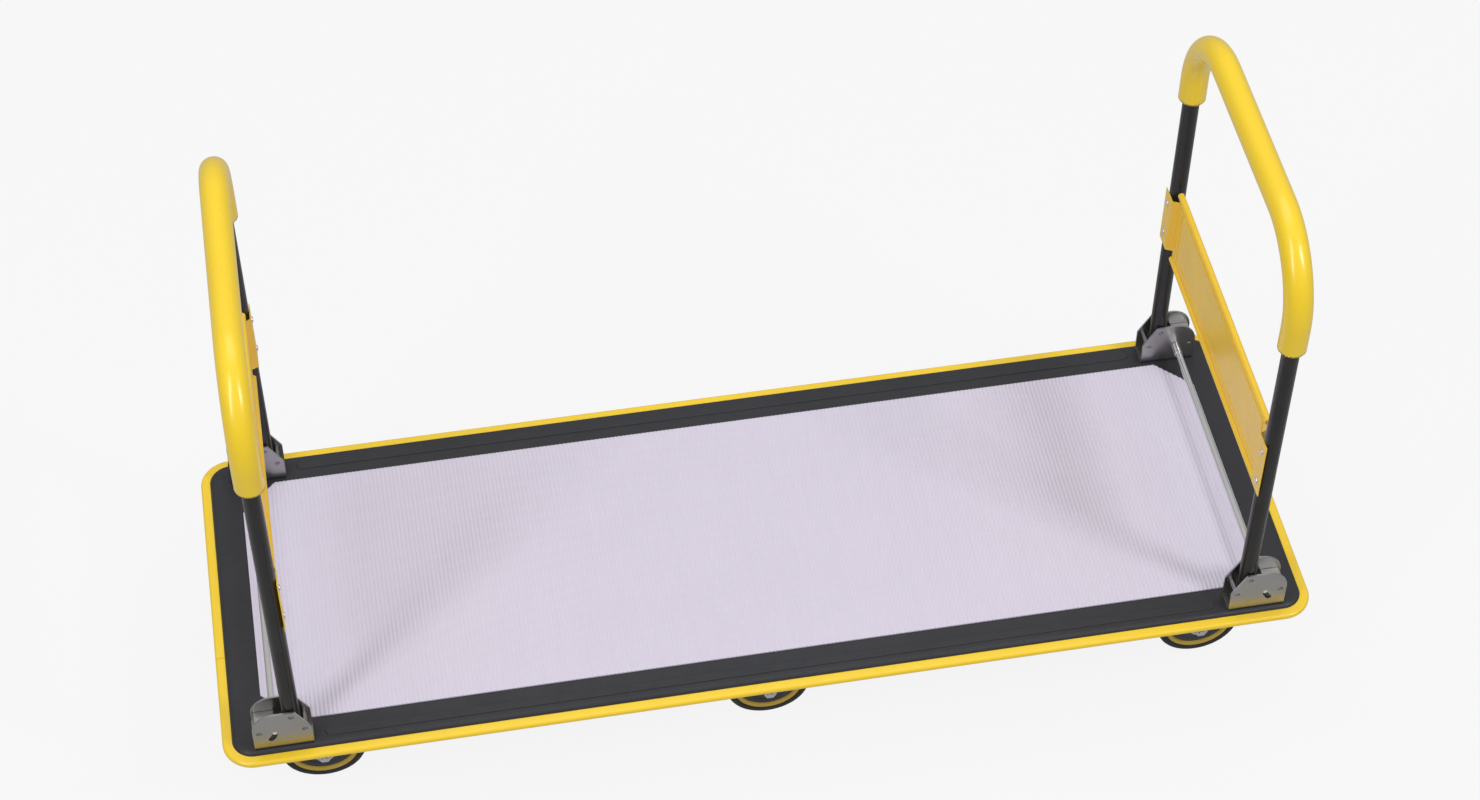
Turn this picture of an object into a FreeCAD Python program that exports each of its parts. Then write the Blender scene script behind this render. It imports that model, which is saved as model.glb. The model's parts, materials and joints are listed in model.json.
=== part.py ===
import FreeCAD, Part
import math
import os

# Folding platform cart.  Millimetres, +Z up, ground at Z = 0, origin under the middle of the deck.
# X runs along the cart, Y across it.  "left" is the -X end, "front" is the -Y side.

vec = FreeCAD.Vector
X_AXIS = vec(1, 0, 0)
Y_AXIS = vec(0, 1, 0)
Z_AXIS = vec(0, 0, 1)

# ---- overall sizes ------------------------------------------------------------------------
DECK_LENGTH = 1603.0          # steel deck, outside of the skirt
DECK_WIDTH = 556.0
WHEEL_DIAMETER = 127.0        # five inch wheels
HANDLE_TUBE_DIAMETER = 25.4
FOLD_GAP = 72.0               # left between the two handle tops when both lie flat

# ---- deck ---------------------------------------------------------------------------------
DECK_SHEET = 2.0
SKIRT_DEPTH = 25.0
SKIRT_LIP = 10.0              # flange turned inwards along the bottom of the skirt
DECK_CORNER_RADIUS = 32.0
DECK_EDGE_RADIUS = 8.0
BEAD_WIDTH = 15.0
BEAD_HEIGHT = 1.5
BEAD_ROUNDING = 1.4
BEAD_END_INSET = 135.5        # from the deck end to the tip of the bead
BEAD_EDGE_INSET = 22.0        # from the deck side to the middle of the bead

# ---- anti-slip mat ------------------------------------------------------------------------
MAT_END_INSET = 47.5
MAT_EDGE_INSET = 50.5
MAT_CORNER_CHAMFER = 52.0
MAT_BASE = 1.8
MAT_RIB_HEIGHT = 1.0
MAT_RIB_PITCH = 6.25
MAT_RIB_LAND = 3.6            # flat top of one rib

# ---- edge bumper --------------------------------------------------------------------------
BUMPER_OVERHANG = 14.0
BUMPER_HEIGHT = 10.5
BUMPER_DROP = 5.5             # below the deck surface
BUMPER_ROUNDING = 4.8
BUMPER_SEAM = 0.8
BUMPER_SEAM_Y = -93.0         # butt joint in the left end

# ---- cross members ------------------------------------------------------------------------
CROSS_HEIGHT = 38.0
CROSS_OVERLAP = 10.0          # past the caster plate at each side
CROSS_SHEET = 2.5
CROSS_END_GAP = 3.0           # to the skirt lip

# ---- handle brackets, measured from the pivot along X and from the deck surface along Z ------
PIVOT_END_INSET = 91.5        # from the deck end to the handle pivot
PIVOT_HEIGHT = 66.0
LEG_EDGE_INSET = 24.5         # from the deck side to the middle of the handle leg
BRACKET_SHEET = 2.8
BRACKET_BEND_RADIUS = 4.0     # outside of the folds along the deck
CHEEK_CLEARANCE = 2.0         # each side of the handle tube
CHEEK_INNER_REACH = 27.0      # towards the middle of the deck
CHEEK_OUTER_REACH = 58.5      # towards the end of the deck
CHEEK_SHOULDER_HEIGHT = 38.5
CHEEK_HEIGHT = 76.3
CHEEK_CHAMFER_TOP_X = -5.5
CHEEK_CORNER_RADIUS = 34.5
WEB_HEIGHT = 30.0
PIN_DIAMETER = 8.0
PIN_RECESS = 1.6              # pins end this far inside the cheek faces
STOP_PIN_HEIGHT = 36.0
STOP_PIN_CLEARANCE = 0.3      # stop pin to the handle tube
LEVER_PIN_X = 49.0
LEVER_PIN_Z = 37.0
PIVOT_RADIAL_CLEARANCE = 0.05

# ---- release rods -------------------------------------------------------------------------
ROD_ARM = 22.7                # lever pin to the rod
ROD_REST_ANGLE = 187.6        # direction from the lever pin to the rod, released
ROD_TRAVEL = 38.0             # degrees the lever turns when pressed
ROD_DIAMETER = 10.5
ROD_JOURNAL_DIAMETER = 7.0
SLOT_CLEARANCE = 0.5          # each side of the rod journal
ROD_END_CLEARANCE = 0.5
COLLAR_DIAMETER = 13.5
COLLAR_LENGTH = 21.0
LEVER_SHEET = 2.0
LEVER_SIDE_CLEARANCE = 0.5    # lever to the bracket cheeks
LEVER_TOP_HEIGHT = 48.0       # top of the lever above the deck surface
LEVER_FOOT_CLEARANCE = 0.8    # nose of the lever to the sweep of the handle foot
LEVER_OUTER_X = 55.0          # outer end of the lever, from the pivot
LEVER_LAND = 6.0              # lever radius round the rod and the pin
LEVER_ROUNDING = 3.0

# ---- torsion springs that lift the rods ------------------------------------------------------
SPRING_WIRE = 1.6
SPRING_TURNS = 4
SPRING_PITCH = 2.2
SPRING_CLEARANCE = 0.4        # coil to its pin
SPRING_LEG_X = 32.0           # free end of the leg under the rod
SPRING_LEG_Z = 10.0
SPRING_FOOT_X = 53.0          # free end of the leg on the bracket base

# ---- handles ------------------------------------------------------------------------------
TUBE_WALL = 2.0
HANDLE_BEND_RADIUS = 120.0
FOOT_LENGTH = 28.0            # tube below the pivot
SLEEVE_WALL = 7.8
SLEEVE_DROP = 162.0           # from the top of the handle axis down each leg
SLEEVE_END_ROUNDING = 5.0
PANEL_SHEET = 1.5
PANEL_BOTTOM = 243.0          # above the deck
PANEL_HEIGHT = 136.0
PANEL_HEM_DIAMETER = 10.0
PANEL_SETBACK = 2.0           # panel in front of the tube axis
PANEL_SIDE_GAP = 10.5         # tube surface to the edge of the flat panel
PANEL_JOGGLE_WIDTH = 5.0
TAB_BOTTOM = 259.5
TAB_HEIGHT = 104.0
FRAME_INSET = 16.0            # raised frame pressed into the panel
FRAME_WIDTH = 5.0
FRAME_RISE = 1.0
RIVET_SPACING = 62.0
RIVET_SHANK = 4.8
RIVET_HEAD = 9.6
RIVET_HEAD_HEIGHT = 2.4
RIVET_DOME = 1.9
RIVET_TAIL = 3.0

# ---- casters ------------------------------------------------------------------------------
WHEEL_WIDTH = 32.0
TYRE_THICKNESS = 11.0
TYRE_SHOULDER = 6.0
RIM_THICKNESS = 7.7
RIM_SETBACK = 1.5             # rim edge inside the tyre face
DISC_WIDTH = 16.0
HUB_DIAMETER = 28.0
HUB_STEP = 2.4                # hub end outside the tyre face
HUB_CLEARANCE = 0.6           # hub end to the fork leg
COVER_THICKNESS = 4.0
AXLE_DIAMETER = 10.0
AXLE_RADIAL_CLEARANCE = 0.05
AXLE_HEX = 17.0               # across flats
AXLE_HEAD_HEIGHT = 6.0
AXLE_NUT_HEIGHT = 8.0
AXLE_THREAD_END = 2.5         # thread showing past the nut
CASTER_EDGE_INSET = 102.0     # from the deck side to the caster middle
WHEEL_END_INSET = 125.5       # from the deck end to the end wheels' axles
CASTER_TRAIL = 35.5           # kingpin to axle, outwards at rest
FORK_SHEET = 3.0
FORK_BOSS_RADIUS = 16.0
RIGID_BOSS_RADIUS = 12.0
FORK_CROWN_LENGTH = 56.0
FORK_SHOULDER_DROP = 9.8      # crown to where the legs start to narrow
RIGID_LEG_TOP_LENGTH = 72.0
WHEEL_HEADROOM = 19.7         # wheel top to the fork crown
SWIVEL_GAP = 0.3
RACE_DIAMETER = 58.0
RACE_HEIGHT = 7.0
KINGPIN_DIAMETER = 12.0
KINGPIN_HEAD_DIAMETER = 20.0
KINGPIN_HEAD_HEIGHT = 6.0
PLATE_LENGTH = 105.0
PLATE_WIDTH = 85.0
PLATE_THICKNESS = 3.0
PLATE_CORNER_RADIUS = 8.0
BOLT_SPACING_X = 84.0
BOLT_SPACING_Y = 62.0
CASTER_BOLT_DIAMETER = 8.0
CASTER_BOLT_HEX = 13.0
BRACKET_BOLT_DIAMETER = 8.0
BRACKET_BOLT_HEX = 13.0
BRACKET_BOLT_HEAD_HEIGHT = 4.0
BRACKET_BOLT_DOME = 2.8
BRACKET_BOLT_X = (2.0, 42.0)  # from the pivot, outwards
BOLT_HEAD_HEIGHT = 5.5
NUT_HEIGHT = 6.5

# ---- heights and places that follow from the sizes above -------------------------------------
WHEEL_RADIUS = WHEEL_DIAMETER / 2
CROWN_BOTTOM = WHEEL_DIAMETER + WHEEL_HEADROOM
CROWN_TOP = CROWN_BOTTOM + FORK_SHEET
RACE_BOTTOM = CROWN_TOP + SWIVEL_GAP
PLATE_BOTTOM = RACE_BOTTOM + RACE_HEIGHT
PLATE_TOP = PLATE_BOTTOM + PLATE_THICKNESS
DECK_UNDERSIDE = PLATE_TOP + CROSS_HEIGHT
DECK_TOP = DECK_UNDERSIDE + DECK_SHEET
SKIRT_BOTTOM = DECK_TOP - SKIRT_DEPTH
PIVOT_X = DECK_LENGTH / 2 - PIVOT_END_INSET
PIVOT_Z = DECK_TOP + PIVOT_HEIGHT
LEG_Y = DECK_WIDTH / 2 - LEG_EDGE_INSET
TUBE_RADIUS = HANDLE_TUBE_DIAMETER / 2
CHEEK_INSIDE = TUBE_RADIUS + CHEEK_CLEARANCE
CHEEK_OUTSIDE = CHEEK_INSIDE + BRACKET_SHEET
SLEEVE_DIAMETER = HANDLE_TUBE_DIAMETER + 2 * SLEEVE_WALL
HANDLE_TOP_Z = PIVOT_Z + PIVOT_X - FOLD_GAP / 2 - SLEEVE_DIAMETER / 2
WHEEL_X = DECK_LENGTH / 2 - WHEEL_END_INSET
KINGPIN_X = WHEEL_X - CASTER_TRAIL
CASTER_Y = DECK_WIDTH / 2 - CASTER_EDGE_INSET
CROSS_WIDTH = PLATE_LENGTH + 2 * CROSS_OVERLAP
HUB_LENGTH = WHEEL_WIDTH + 2 * HUB_STEP
FORK_GAP = HUB_LENGTH + 2 * HUB_CLEARANCE
FORK_HALF_WIDTH = FORK_GAP / 2 + FORK_SHEET
RIM_WIDTH = WHEEL_WIDTH - 2 * RIM_SETBACK
TYRE_INNER_DIAMETER = WHEEL_DIAMETER - 2 * TYRE_THICKNESS
RIM_INNER_DIAMETER = TYRE_INNER_DIAMETER - 2 * RIM_THICKNESS
LEVER_PIN = (PIVOT_X + LEVER_PIN_X, DECK_TOP + LEVER_PIN_Z)
FOOT_SWEEP_RADIUS = math.hypot(FOOT_LENGTH, TUBE_RADIUS)

ENDS = (("left", -1), ("right", 1))
SIDES = (("front", -1), ("back", 1))
MARGIN = 1.0                  # cutters run this far past what they cut


# ---- small shape helpers --------------------------------------------------------------------
def block(x_low, x_high, y_low, y_high, z_low, z_high):
    return Part.makeBox(x_high - x_low, y_high - y_low, z_high - z_low, vec(x_low, y_low, z_low))


def edges_along_z(shape):
    return [e for e in shape.Edges if e.BoundBox.XLength < 1e-6 and e.BoundBox.YLength < 1e-6]


def edges_at_z(shape, z):
    return [e for e in shape.Edges if abs(e.BoundBox.ZMin - z) < 1e-6 and e.BoundBox.ZLength < 1e-6]


def edges_at_xz(shape, x, z):
    return [e for e in edges_at_z(shape, z)
            if abs(e.BoundBox.XMin - x) < 1e-6 and e.BoundBox.XLength < 1e-6]


def edges_at_yz(shape, y, z):
    return [e for e in edges_at_z(shape, z)
            if abs(e.BoundBox.YMin - y) < 1e-6 and e.BoundBox.YLength < 1e-6]


def rounded_block(length, width, z_low, z_high, radius):
    box = block(-length / 2, length / 2, -width / 2, width / 2, z_low, z_high)
    return box.makeFillet(radius, edges_along_z(box))


def cylinder_z(diameter, x, y, z_low, z_high):
    return Part.makeCylinder(diameter / 2, z_high - z_low, vec(x, y, z_low), Z_AXIS)


def cylinder_y(diameter, x, z, y_low, y_high):
    return Part.makeCylinder(diameter / 2, y_high - y_low, vec(x, y_low, z), Y_AXIS)


def cylinder_x(diameter, y, z, x_low, x_high):
    return Part.makeCylinder(diameter / 2, x_high - x_low, vec(x_low, y, z), X_AXIS)


def hexagon(across_flats, height, centre, axis):
    radius = across_flats / math.sqrt(3)
    points = [vec(radius * math.cos(math.radians(60 * i)), radius * math.sin(math.radians(60 * i)), 0)
              for i in range(7)]
    prism = Part.Face(Part.makePolygon(points)).extrude(vec(0, 0, height))
    prism.Placement = FreeCAD.Placement(centre, FreeCAD.Rotation(Z_AXIS, axis))
    return prism


def plate_in_xz(points, y_low, y_high):
    """Sheet with an outline of straight lines in the XZ plane."""
    outline = [vec(x, y_low, z) for x, z in points]
    return Part.Face(Part.makePolygon(outline + outline[:1])).extrude(vec(0, y_high - y_low, 0))


def stadium(length, width, x, y, z_low, z_high):
    """Long bar with round ends along X."""
    half = (length - width) / 2
    bar = block(x - half, x + half, y - width / 2, y + width / 2, z_low, z_high)
    ends = [cylinder_z(width, x + s * half, y, z_low, z_high) for s in (-1, 1)]
    return bar.multiFuse(ends).removeSplitter()


def mirrored(shape, x_sign, y_sign):
    """Copy of a shape drawn at +X, +Y, placed at the wanted end and side."""
    if x_sign < 0:
        shape = shape.mirror(vec(0, 0, 0), X_AXIS)
    if y_sign < 0:
        shape = shape.mirror(vec(0, 0, 0), Y_AXIS)
    return shape


def group(shapes):
    return Part.makeCompound([solid for shape in shapes for solid in shape.Solids])


def export(name, shape):
    shape.exportStep(os.path.join("parts", name + ".step"))


# ---- deck -----------------------------------------------------------------------------------
def bead(y_sign, width, z_low, z_high):
    length = DECK_LENGTH - 2 * BEAD_END_INSET - BEAD_WIDTH + width
    y = y_sign * (DECK_WIDTH / 2 - BEAD_EDGE_INSET)
    return stadium(length, width, 0, y, z_low, z_high)


def bracket_bolt_places():
    return [(x_sign * (PIVOT_X + offset), y_sign * LEG_Y)
            for _, x_sign in ENDS for _, y_sign in SIDES for offset in BRACKET_BOLT_X]


def deck_plate():
    """Pressed steel tray: flat top, rounded edge, skirt and inward lip."""
    tray = rounded_block(DECK_LENGTH, DECK_WIDTH, SKIRT_BOTTOM, DECK_TOP, DECK_CORNER_RADIUS)
    tray = tray.makeFillet(DECK_EDGE_RADIUS, edges_at_z(tray, DECK_TOP))
    inner = rounded_block(DECK_LENGTH - 2 * DECK_SHEET, DECK_WIDTH - 2 * DECK_SHEET,
                          SKIRT_BOTTOM + DECK_SHEET, DECK_UNDERSIDE, DECK_CORNER_RADIUS - DECK_SHEET)
    inner = inner.makeFillet(DECK_EDGE_RADIUS - DECK_SHEET, edges_at_z(inner, DECK_UNDERSIDE))
    lip = DECK_SHEET + SKIRT_LIP
    opening = rounded_block(DECK_LENGTH - 2 * lip, DECK_WIDTH - 2 * lip, SKIRT_BOTTOM - MARGIN,
                            SKIRT_BOTTOM + DECK_SHEET + MARGIN, DECK_CORNER_RADIUS - lip)
    tray = tray.cut(inner).cut(opening)
    bead_top = DECK_TOP + BEAD_HEIGHT
    for _, y_sign in SIDES:
        raised = bead(y_sign, BEAD_WIDTH, DECK_TOP - DECK_SHEET / 2, bead_top)
        tray = tray.fuse(raised.makeFillet(BEAD_ROUNDING, edges_at_z(raised, bead_top)))
        tray = tray.cut(bead(y_sign, BEAD_WIDTH - 2 * DECK_SHEET, DECK_UNDERSIDE - MARGIN,
                             DECK_UNDERSIDE + BEAD_HEIGHT))
    holes = [cylinder_z(BRACKET_BOLT_DIAMETER, x, y, DECK_UNDERSIDE - MARGIN, DECK_TOP + MARGIN)
             for x, y in bracket_bolt_places()]
    return tray.cut(Part.makeCompound(holes))


def deck_mat():
    """Sheet with ribs across the cart and cut corners beside the brackets."""
    half_length = DECK_LENGTH / 2 - MAT_END_INSET
    half_width = DECK_WIDTH / 2 - MAT_EDGE_INSET
    rib_count = int(2 * half_length / MAT_RIB_PITCH)
    first = -(rib_count - 1) * MAT_RIB_PITCH / 2
    low = DECK_TOP + MAT_BASE
    high = low + MAT_RIB_HEIGHT
    profile = [(-half_length, DECK_TOP), (half_length, DECK_TOP), (half_length, low)]
    foot = (MAT_RIB_PITCH + MAT_RIB_LAND) / 4
    land = MAT_RIB_LAND / 2
    for i in reversed(range(rib_count)):
        middle = first + i * MAT_RIB_PITCH
        profile += [(middle + foot, low), (middle + land, high),
                    (middle - land, high), (middle - foot, low)]
    profile.append((-half_length, low))
    ribbed = plate_in_xz(profile, -half_width, half_width)
    cut = MAT_CORNER_CHAMFER
    outline = [(half_length - cut, half_width), (half_length, half_width - cut),
               (half_length, cut - half_width), (half_length - cut, -half_width),
               (cut - half_length, -half_width), (-half_length, cut - half_width),
               (-half_length, half_width - cut), (cut - half_length, half_width)]
    corners = [vec(x, y, DECK_TOP - MARGIN) for x, y in outline]
    depth = vec(0, 0, high - DECK_TOP + 2 * MARGIN)
    return ribbed.common(Part.Face(Part.makePolygon(corners + corners[:1])).extrude(depth))


def edge_bumper():
    """Strip with a rounded nose round the skirt, butt jointed at the left end."""
    high = DECK_TOP - BUMPER_DROP
    low = high - BUMPER_HEIGHT
    outer = rounded_block(DECK_LENGTH + 2 * BUMPER_OVERHANG, DECK_WIDTH + 2 * BUMPER_OVERHANG,
                          low, high, DECK_CORNER_RADIUS + BUMPER_OVERHANG)
    outer = outer.makeFillet(BUMPER_ROUNDING, edges_at_z(outer, high) + edges_at_z(outer, low))
    strip = outer.cut(deck_envelope(low - MARGIN))
    seam = block(-DECK_LENGTH / 2 - BUMPER_OVERHANG - MARGIN, MARGIN - DECK_LENGTH / 2,
                 BUMPER_SEAM_Y, BUMPER_SEAM_Y + BUMPER_SEAM, low - MARGIN, high + MARGIN)
    return strip.cut(seam)


def deck_envelope(z_low):
    """Outside shape of the deck, used to seat the bumper against it."""
    solid = rounded_block(DECK_LENGTH, DECK_WIDTH, z_low, DECK_TOP, DECK_CORNER_RADIUS)
    return solid.makeFillet(DECK_EDGE_RADIUS, edges_at_z(solid, DECK_TOP))


def cross_member(x):
    """Channel welded under the deck, casters bolt to its web."""
    half_length = DECK_WIDTH / 2 - DECK_SHEET - SKIRT_LIP - CROSS_END_GAP
    half_width = CROSS_WIDTH / 2
    channel = block(x - half_width, x + half_width, -half_length, half_length,
                    PLATE_TOP, DECK_UNDERSIDE)
    half_inside = half_width - CROSS_SHEET
    inside = block(x - half_inside, x + half_inside, -half_length - MARGIN, half_length + MARGIN,
                   PLATE_TOP + CROSS_SHEET, DECK_UNDERSIDE + MARGIN)
    holes = [hole for _, y_sign in SIDES for hole in bolt_holes(x, y_sign * CASTER_Y)]
    return channel.cut(inside).cut(Part.makeCompound(holes))


# ---- handle brackets ------------------------------------------------------------------------
def rod_place(turn):
    """X and Z of the rod when the lever is turned by this many degrees from rest."""
    angle = math.radians(ROD_REST_ANGLE + turn)
    return LEVER_PIN[0] + ROD_ARM * math.cos(angle), LEVER_PIN[1] + ROD_ARM * math.sin(angle)


def slot_cutter(y_low, y_high):
    """Slot for the rod journal, an arc about the lever pin from rest to the end of the travel."""
    width = ROD_JOURNAL_DIAMETER + 2 * SLOT_CLEARANCE

    def sector(radius):
        wedge = Part.makeCylinder(radius, y_high - y_low, vec(0, 0, 0), Z_AXIS, ROD_TRAVEL)
        wedge.rotate(vec(0, 0, 0), Z_AXIS, ROD_REST_ANGLE)
        wedge.rotate(vec(0, 0, 0), X_AXIS, 90)
        wedge.translate(vec(LEVER_PIN[0], y_high, LEVER_PIN[1]))
        return wedge

    middle = sector(ROD_ARM + width / 2).cut(sector(ROD_ARM - width / 2))
    ends = [cylinder_y(width, *rod_place(turn), y_low, y_high) for turn in (0, ROD_TRAVEL)]
    return middle.multiFuse(ends)


def cheek(y_low, y_high):
    """Side plate: sloped inner shoulder, level top and a round outer corner."""
    def at(x, z):
        return vec(PIVOT_X + x, y_low, DECK_TOP + z)

    arc_x = CHEEK_OUTER_REACH - CHEEK_CORNER_RADIUS
    arc_z = CHEEK_HEIGHT - CHEEK_CORNER_RADIUS
    side = CHEEK_CORNER_RADIUS * math.sqrt(0.5)
    corners = [at(CHEEK_OUTER_REACH, arc_z), at(CHEEK_OUTER_REACH, 0), at(-CHEEK_INNER_REACH, 0),
               at(-CHEEK_INNER_REACH, CHEEK_SHOULDER_HEIGHT), at(CHEEK_CHAMFER_TOP_X, CHEEK_HEIGHT),
               at(arc_x, CHEEK_HEIGHT)]
    edges = [Part.makeLine(a, b) for a, b in zip(corners, corners[1:])]
    edges.append(Part.Arc(corners[-1], at(arc_x + side, arc_z + side), corners[0]).toShape())
    return Part.Face(Part.Wire(edges)).extrude(vec(0, y_high - y_low, 0))


def pin_places():
    """Pivot, stop and lever pins, from the pivot along X and from the deck along Z."""
    stop_x = -TUBE_RADIUS - STOP_PIN_CLEARANCE - PIN_DIAMETER / 2
    return [(0.0, PIVOT_HEIGHT), (stop_x, STOP_PIN_HEIGHT), (LEVER_PIN_X, LEVER_PIN_Z)]


def handle_bracket():
    """Folded channel with two cheeks, a base and a low outer web, drawn at the right back corner."""
    inner_x = PIVOT_X - CHEEK_INNER_REACH
    outer_x = PIVOT_X + CHEEK_OUTER_REACH
    near = LEG_Y - CHEEK_OUTSIDE
    far = LEG_Y + CHEEK_OUTSIDE
    base = block(inner_x, outer_x, near, far, DECK_TOP, DECK_TOP + BRACKET_SHEET)
    web = block(outer_x - BRACKET_SHEET, outer_x, near, far, DECK_TOP, DECK_TOP + WEB_HEIGHT)
    cheeks = [cheek(near, near + BRACKET_SHEET), cheek(far - BRACKET_SHEET, far)]
    body = base.multiFuse([web] + cheeks).removeSplitter()
    folds = edges_at_yz(body, near, DECK_TOP) + edges_at_yz(body, far, DECK_TOP)
    body = body.makeFillet(BRACKET_BEND_RADIUS, folds)
    cutters = [cylinder_y(PIN_DIAMETER, PIVOT_X + x, DECK_TOP + z, near - MARGIN, far + MARGIN)
               for x, z in pin_places()]
    cutters.append(slot_cutter(near - MARGIN, far + MARGIN))
    for offset in BRACKET_BOLT_X:
        cutters.append(cylinder_z(BRACKET_BOLT_DIAMETER, PIVOT_X + offset, LEG_Y,
                                  DECK_TOP - MARGIN, DECK_TOP + BRACKET_SHEET + MARGIN))
    return body.cut(Part.makeCompound(cutters))


def bracket_pins():
    half = CHEEK_OUTSIDE - PIN_RECESS
    return group([mirrored(cylinder_y(PIN_DIAMETER, PIVOT_X + x, DECK_TOP + z, LEG_Y - half, LEG_Y + half),
                           x_sign, y_sign)
                  for x, z in pin_places() for _, x_sign in ENDS for _, y_sign in SIDES])


def torsion_spring():
    """Coil on the lever pin with one leg under the rod and one against the base."""
    coil_radius = PIN_DIAMETER / 2 + SPRING_CLEARANCE + SPRING_WIRE / 2
    height = SPRING_TURNS * SPRING_PITCH
    x, z = LEVER_PIN
    helix = Part.makeHelix(SPRING_PITCH, height, coil_radius)
    ring = Part.Wire(Part.Circle(vec(coil_radius, 0, 0), Y_AXIS, SPRING_WIRE / 2).toShape())
    coil = Part.Wire(helix.Edges).makePipeShell([ring], True, True)
    # The coil axis lies along Y and both ends of the coil are below the pin.
    low_y = LEG_Y - height / 2
    lying = FreeCAD.Rotation(-Z_AXIS, -X_AXIS, Y_AXIS, "ZXY")
    coil.Placement = FreeCAD.Placement(vec(x, low_y, z), lying)
    bottom = z - coil_radius
    legs = [rod_between(vec(x, low_y, bottom),
                        vec(PIVOT_X + SPRING_LEG_X, low_y, DECK_TOP + SPRING_LEG_Z), SPRING_WIRE),
            rod_between(vec(x, low_y + height, bottom),
                        vec(PIVOT_X + SPRING_FOOT_X, low_y + height, DECK_TOP + BRACKET_SHEET), SPRING_WIRE)]
    return coil, legs


def rod_between(start, end, diameter):
    along = end - start
    return Part.makeCylinder(diameter / 2, along.Length, start, along)


def carriage_bolt(x, y):
    """Domed bolt through bracket and deck with its nut below."""
    head_low = DECK_TOP + BRACKET_SHEET
    nut_low = DECK_UNDERSIDE - NUT_HEIGHT
    head = cylinder_z(BRACKET_BOLT_HEX, x, y, head_low, head_low + BRACKET_BOLT_HEAD_HEIGHT)
    head = head.makeFillet(BRACKET_BOLT_DOME, edges_at_z(head, head_low + BRACKET_BOLT_HEAD_HEIGHT))
    shank = cylinder_z(BRACKET_BOLT_DIAMETER, x, y, nut_low - MARGIN, head_low)
    nut = hexagon(BRACKET_BOLT_HEX, NUT_HEIGHT, vec(x, y, nut_low), Z_AXIS)
    return [head.fuse(shank).removeSplitter(), nut.cut(shank)]


# ---- release rods ---------------------------------------------------------------------------
def release_rod():
    x, z = rod_place(0)
    body_half = LEG_Y - CHEEK_OUTSIDE - ROD_END_CLEARANCE
    end_half = LEG_Y + CHEEK_OUTSIDE - ROD_END_CLEARANCE
    body = cylinder_y(ROD_DIAMETER, x, z, -body_half, body_half)
    return body.fuse(cylinder_y(ROD_JOURNAL_DIAMETER, x, z, -end_half, end_half)).removeSplitter()


def rod_collars():
    x, z = rod_place(0)
    high = LEG_Y - CHEEK_OUTSIDE - ROD_END_CLEARANCE
    collar = cylinder_y(COLLAR_DIAMETER, x, z, high - COLLAR_LENGTH, high)
    collar = collar.cut(cylinder_y(ROD_DIAMETER, x, z, high - COLLAR_LENGTH - MARGIN, high + MARGIN))
    return group([collar, mirrored(collar, 1, -1)])


def release_levers():
    """Lever in each bracket: turns on its pin, carries the rod, its nose waits behind the foot."""
    top = DECK_TOP + LEVER_TOP_HEIGHT
    outer_x = PIVOT_X + LEVER_OUTER_X
    nose_drop = PIVOT_HEIGHT - LEVER_TOP_HEIGHT
    nose_x = PIVOT_X + math.sqrt((FOOT_SWEEP_RADIUS + LEVER_FOOT_CLEARANCE) ** 2 - nose_drop ** 2)
    rod_x, rod_z = rod_place(0)
    pin_x, pin_z = LEVER_PIN
    half = CHEEK_INSIDE - LEVER_SIDE_CLEARANCE
    near, far = LEG_Y - half, LEG_Y + half
    outline = [(nose_x, top), (outer_x, top), (outer_x, pin_z), (pin_x, pin_z - LEVER_LAND),
               (rod_x, rod_z - LEVER_LAND), (rod_x - LEVER_LAND, rod_z)]
    lever = plate_in_xz(outline, near, far)
    lever = lever.makeFillet(LEVER_ROUNDING, edges_at_xz(lever, outer_x, top))
    lands = [cylinder_y(2 * LEVER_LAND, x, z, near, far) for x, z in (LEVER_PIN, (rod_x, rod_z))]
    lever = lever.multiFuse(lands).removeSplitter()
    inside = (near + LEVER_SHEET, far - LEVER_SHEET, rod_z - LEVER_LAND - MARGIN)
    inner_x = rod_x - LEVER_LAND - MARGIN
    lever = lever.cut(block(inner_x, outer_x - LEVER_SHEET, *inside, top - LEVER_SHEET))
    lever = lever.cut(block(inner_x, outer_x + MARGIN, *inside, pin_z + LEVER_LAND + MARGIN))
    pin_bore = PIN_DIAMETER + 2 * PIVOT_RADIAL_CLEARANCE
    for diameter, x, z in ((pin_bore, pin_x, pin_z), (ROD_JOURNAL_DIAMETER, rod_x, rod_z)):
        lever = lever.cut(cylinder_y(diameter, x, z, near - MARGIN, far + MARGIN))
    return group([lever, mirrored(lever, 1, -1)])


# ---- handles --------------------------------------------------------------------------------
def handle_path(z_low):
    """Axis of the U-shaped handle from the height given up, across and down again."""
    bend = HANDLE_BEND_RADIUS
    side = bend * (1 - math.sqrt(0.5))
    top = HANDLE_TOP_Z

    def at(y, z):
        return vec(PIVOT_X, y, z)

    edges = [Part.makeLine(at(-LEG_Y, z_low), at(-LEG_Y, top - bend)),
             Part.Arc(at(-LEG_Y, top - bend), at(side - LEG_Y, top - side), at(bend - LEG_Y, top)).toShape(),
             Part.makeLine(at(bend - LEG_Y, top), at(LEG_Y - bend, top)),
             Part.Arc(at(LEG_Y - bend, top), at(LEG_Y - side, top - side), at(LEG_Y, top - bend)).toShape(),
             Part.makeLine(at(LEG_Y, top - bend), at(LEG_Y, z_low))]
    return Part.Wire(edges)


def bar_along(path, diameter):
    start = path.Edges[0].Vertexes[0].Point
    disc = Part.Face(Part.Wire(Part.Circle(start, Z_AXIS, diameter / 2).toShape()))
    return path.makePipe(disc)


def rivet_places():
    middle = DECK_TOP + TAB_BOTTOM + TAB_HEIGHT / 2
    return [(y_sign * LEG_Y, middle + s * RIVET_SPACING / 2) for _, y_sign in SIDES for s in (-1, 1)]


def rivet_cutters():
    low = PIVOT_X - TUBE_RADIUS - PANEL_SHEET - MARGIN
    return Part.makeCompound([cylinder_x(RIVET_SHANK, y, z, low, PIVOT_X) for y, z in rivet_places()])


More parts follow.
